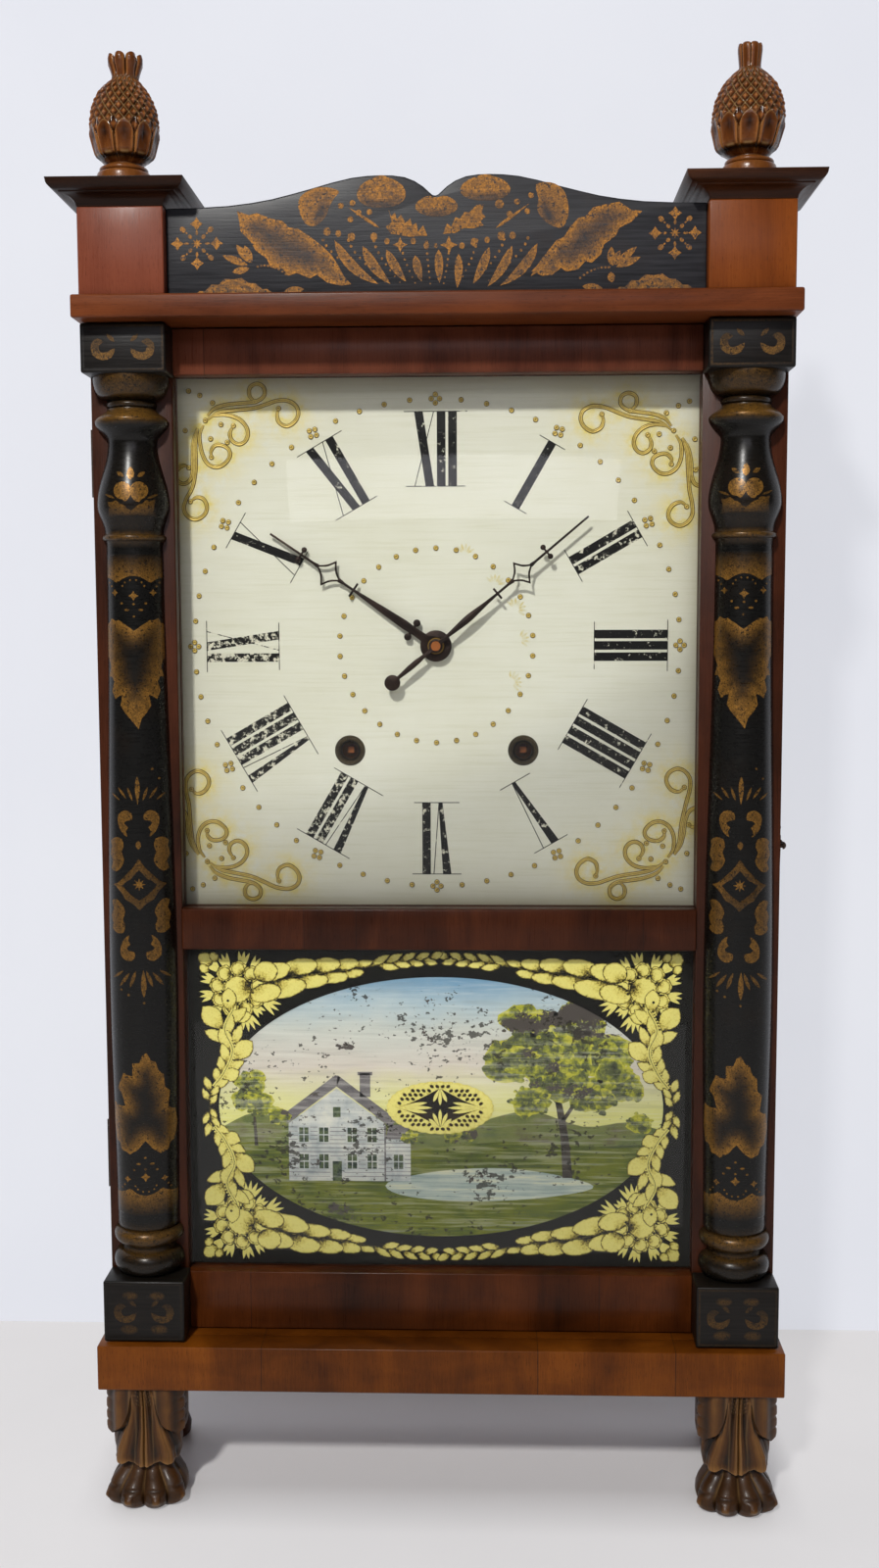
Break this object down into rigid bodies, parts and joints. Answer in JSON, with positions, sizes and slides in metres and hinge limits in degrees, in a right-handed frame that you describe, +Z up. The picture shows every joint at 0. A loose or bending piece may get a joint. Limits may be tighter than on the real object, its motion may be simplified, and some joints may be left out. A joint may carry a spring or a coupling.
{
  "type": "column and splat shelf clock",
  "caption": "Column and splat shelf clock with a full-front door, half columns, painted tablet, carved finials and paw feet.",
  "frame": {"origin": "centre of the bounding box's footprint, on the floor under the feet", "axes": "+X to the viewer's right, +Y to the back of the case, +Z up; the dial faces -Y"},
  "size_m": [0.4498, 0.1406, 0.9005],
  "materials": {
    "case_mahogany": "satin shellac over mahogany",
    "post_veneer": "satin shellac over mahogany veneer",
    "door_veneer": "satin shellac over cross-grained veneer",
    "carved_mahogany": "shellac with dark wax in the carving",
    "ebonised_wood": "black paint with bronze stencils, glossy",
    "white_pine": "unfinished",
    "painted_dial": "white paint with black numerals and gilding",
    "movement_oak": "unfinished",
    "movement_cherry": "unfinished",
    "brass": "aged",
    "iron": "dark",
    "cast_weight": "rough casting",
    "blued_hand": "black lacquer",
    "glass": "clear",
    "reverse_painted_glass": "painted on the back",
    "cord": "twisted linen"
  },
  "bodies": {
    "case": {"base_front": "case_mahogany", "base_returns": "case_mahogany", "base_floor": "white_pine", "left_side": "case_mahogany", "right_side": "case_mahogany", "backboard": "white_pine", "top_board": "white_pine", "cornice": "case_mahogany", "posts": "post_veneer", "caps": "case_mahogany", "left_finial": "carved_mahogany", "right_finial": "carved_mahogany", "splat": "ebonised_wood", "left_paw_foot": "carved_mahogany", "right_paw_foot": "carved_mahogany", "rear_feet": "carved_mahogany", "dial_board": "painted_dial", "winding_collets": "brass", "movement_rails": "white_pine", "front_plate": "movement_oak", "back_plate": "movement_oak", "bell": "iron", "case_hinges": "iron", "cord_leads": "cord"},
    "door": {"left_stile": "door_veneer", "right_stile": "door_veneer", "top_rail": "door_veneer", "mid_rail": "door_veneer", "bottom_rail": "door_veneer", "dial_glass": "glass", "tablet_glass": "reverse_painted_glass", "glazing_strips": "white_pine", "left_column": "ebonised_wood", "right_column": "ebonised_wood", "upper_blocks": "ebonised_wood", "lower_blocks": "ebonised_wood", "door_hinges": "iron", "latch_stud": "iron"},
    "latch": {"latch_hook": "iron"},
    "centre_arbor": {"centre_arbor": "movement_cherry", "minute_hand": "blued_hand"},
    "hour_wheel": {"hour_wheel": "brass", "hour_hand": "blued_hand"},
    "minute_wheel": {"minute_wheel": "brass"},
    "second_arbor": {"second_arbor": "movement_cherry"},
    "great_wheel": {"great_wheel": "movement_cherry"},
    "third_arbor": {"third_arbor": "movement_cherry"},
    "escape_wheel": {"escape_wheel": "brass"},
    "pendulum": {"verge": "iron", "pendulum_rod": "iron", "pendulum_bob": "brass"},
    "hammer": {"hammer": "iron"},
    "time_weight": {"time_weight": "cast_weight", "time_cord_drop": "cord"},
    "strike_weight": {"strike_weight": "cast_weight", "strike_cord_drop": "cord"},
    "time_drum": {"time_drum": "movement_cherry"},
    "strike_drum": {"strike_drum": "movement_cherry"},
    "right_pulley": {"right_pulley": "movement_cherry"},
    "left_pulley": {"left_pulley": "movement_cherry"}
  },
  "joints": [
    {"name": "door_hinge", "type": "hinge", "parent": "case", "child": "door", "pos_m": [-0.215, -0.0054, 0.42], "axis": [0, 0, -1], "range_deg": [0, 105]},
    {"name": "latch_turn", "type": "hinge", "parent": "case", "child": "latch", "pos_m": [0.2146, -0.00115, 0.421], "axis": [1, 0, 0], "range_deg": [0, 90]},
    {"name": "minute_turn", "type": "hinge", "parent": "case", "child": "centre_arbor", "pos_m": [-0.002, 0.03635, 0.5465], "axis": [0, 1, 0], "continuous": true},
    {"name": "hour_turn", "type": "hinge", "parent": "case", "child": "hour_wheel", "pos_m": [-0.002, 0.01335, 0.5465], "axis": [0, 1, 0], "continuous": true},
    {"name": "minute_wheel_turn", "type": "hinge", "parent": "case", "child": "minute_wheel", "pos_m": [-0.002, 0.01535, 0.5765], "axis": [0, 1, 0], "continuous": true},
    {"name": "second_turn", "type": "hinge", "parent": "case", "child": "second_arbor", "pos_m": [0.02424, 0.03635, 0.52551], "axis": [0, 1, 0], "continuous": true},
    {"name": "great_turn", "type": "hinge", "parent": "case", "child": "great_wheel", "pos_m": [0.0533, 0.02835, 0.48], "axis": [0, 1, 0], "continuous": true},
    {"name": "third_turn", "type": "hinge", "parent": "case", "child": "third_arbor", "pos_m": [-0.01496, 0.03635, 0.5775], "axis": [0, 1, 0], "continuous": true},
    {"name": "escape_turn", "type": "hinge", "parent": "case", "child": "escape_wheel", "pos_m": [-0.002, 0.03635, 0.6085], "axis": [0, 1, 0], "continuous": true},
    {"name": "pendulum_swing", "type": "hinge", "parent": "case", "child": "pendulum", "pos_m": [-0.002, 0.05805, 0.6355], "axis": [0, 1, 0], "range_deg": [-4, 4]},
    {"name": "hammer_lift", "type": "hinge", "parent": "case", "child": "hammer", "pos_m": [-0.109, 0.05135, 0.4215], "axis": [0, 1, 0], "range_deg": [0, 12]},
    {"name": "time_weight_slide", "type": "slide", "parent": "case", "child": "time_weight", "axis": [0, 0, 1], "range_m": [0, 0.43], "deforming": ["time_cord_drop"]},
    {"name": "strike_weight_slide", "type": "slide", "parent": "case", "child": "strike_weight", "axis": [0, 0, 1], "range_m": [0, 0.43], "deforming": ["strike_cord_drop"]},
    {"name": "time_drum_turn", "type": "hinge", "parent": "case", "child": "time_drum", "pos_m": [0.0533, 0.03935, 0.48], "axis": [0, 1, 0], "range_deg": [-1445.8, 0]},
    {"name": "right_pulley_turn", "type": "hinge", "parent": "case", "child": "right_pulley", "pos_m": [0.173, 0.03935, 0.729], "axis": [0, 1, 0], "range_deg": [-2519, 0]},
    {"name": "strike_drum_turn", "type": "hinge", "parent": "case", "child": "strike_drum", "pos_m": [-0.0573, 0.03935, 0.48], "axis": [0, 1, 0], "range_deg": [0, 1445.8]},
    {"name": "left_pulley_turn", "type": "hinge", "parent": "case", "child": "left_pulley", "pos_m": [-0.173, 0.03935, 0.729], "axis": [0, 1, 0], "range_deg": [0, 2519]}
  ],
  "couplings": [
    {"joint": "hour_turn", "follows": "minute_turn", "ratio": 0.083333},
    {"joint": "minute_wheel_turn", "follows": "minute_turn", "ratio": -0.33333},
    {"joint": "second_turn", "follows": "minute_turn", "ratio": -0.75},
    {"joint": "great_turn", "follows": "minute_turn", "ratio": 0.11538},
    {"joint": "third_turn", "follows": "minute_turn", "ratio": -3},
    {"joint": "escape_turn", "follows": "minute_turn", "ratio": 9},
    {"joint": "time_drum_turn", "follows": "time_weight_slide", "rad_per_m": -58.48},
    {"joint": "right_pulley_turn", "follows": "time_weight_slide", "rad_per_m": -102.04},
    {"joint": "strike_drum_turn", "follows": "strike_weight_slide", "rad_per_m": 58.48},
    {"joint": "left_pulley_turn", "follows": "strike_weight_slide", "rad_per_m": 102.04}
  ]
}
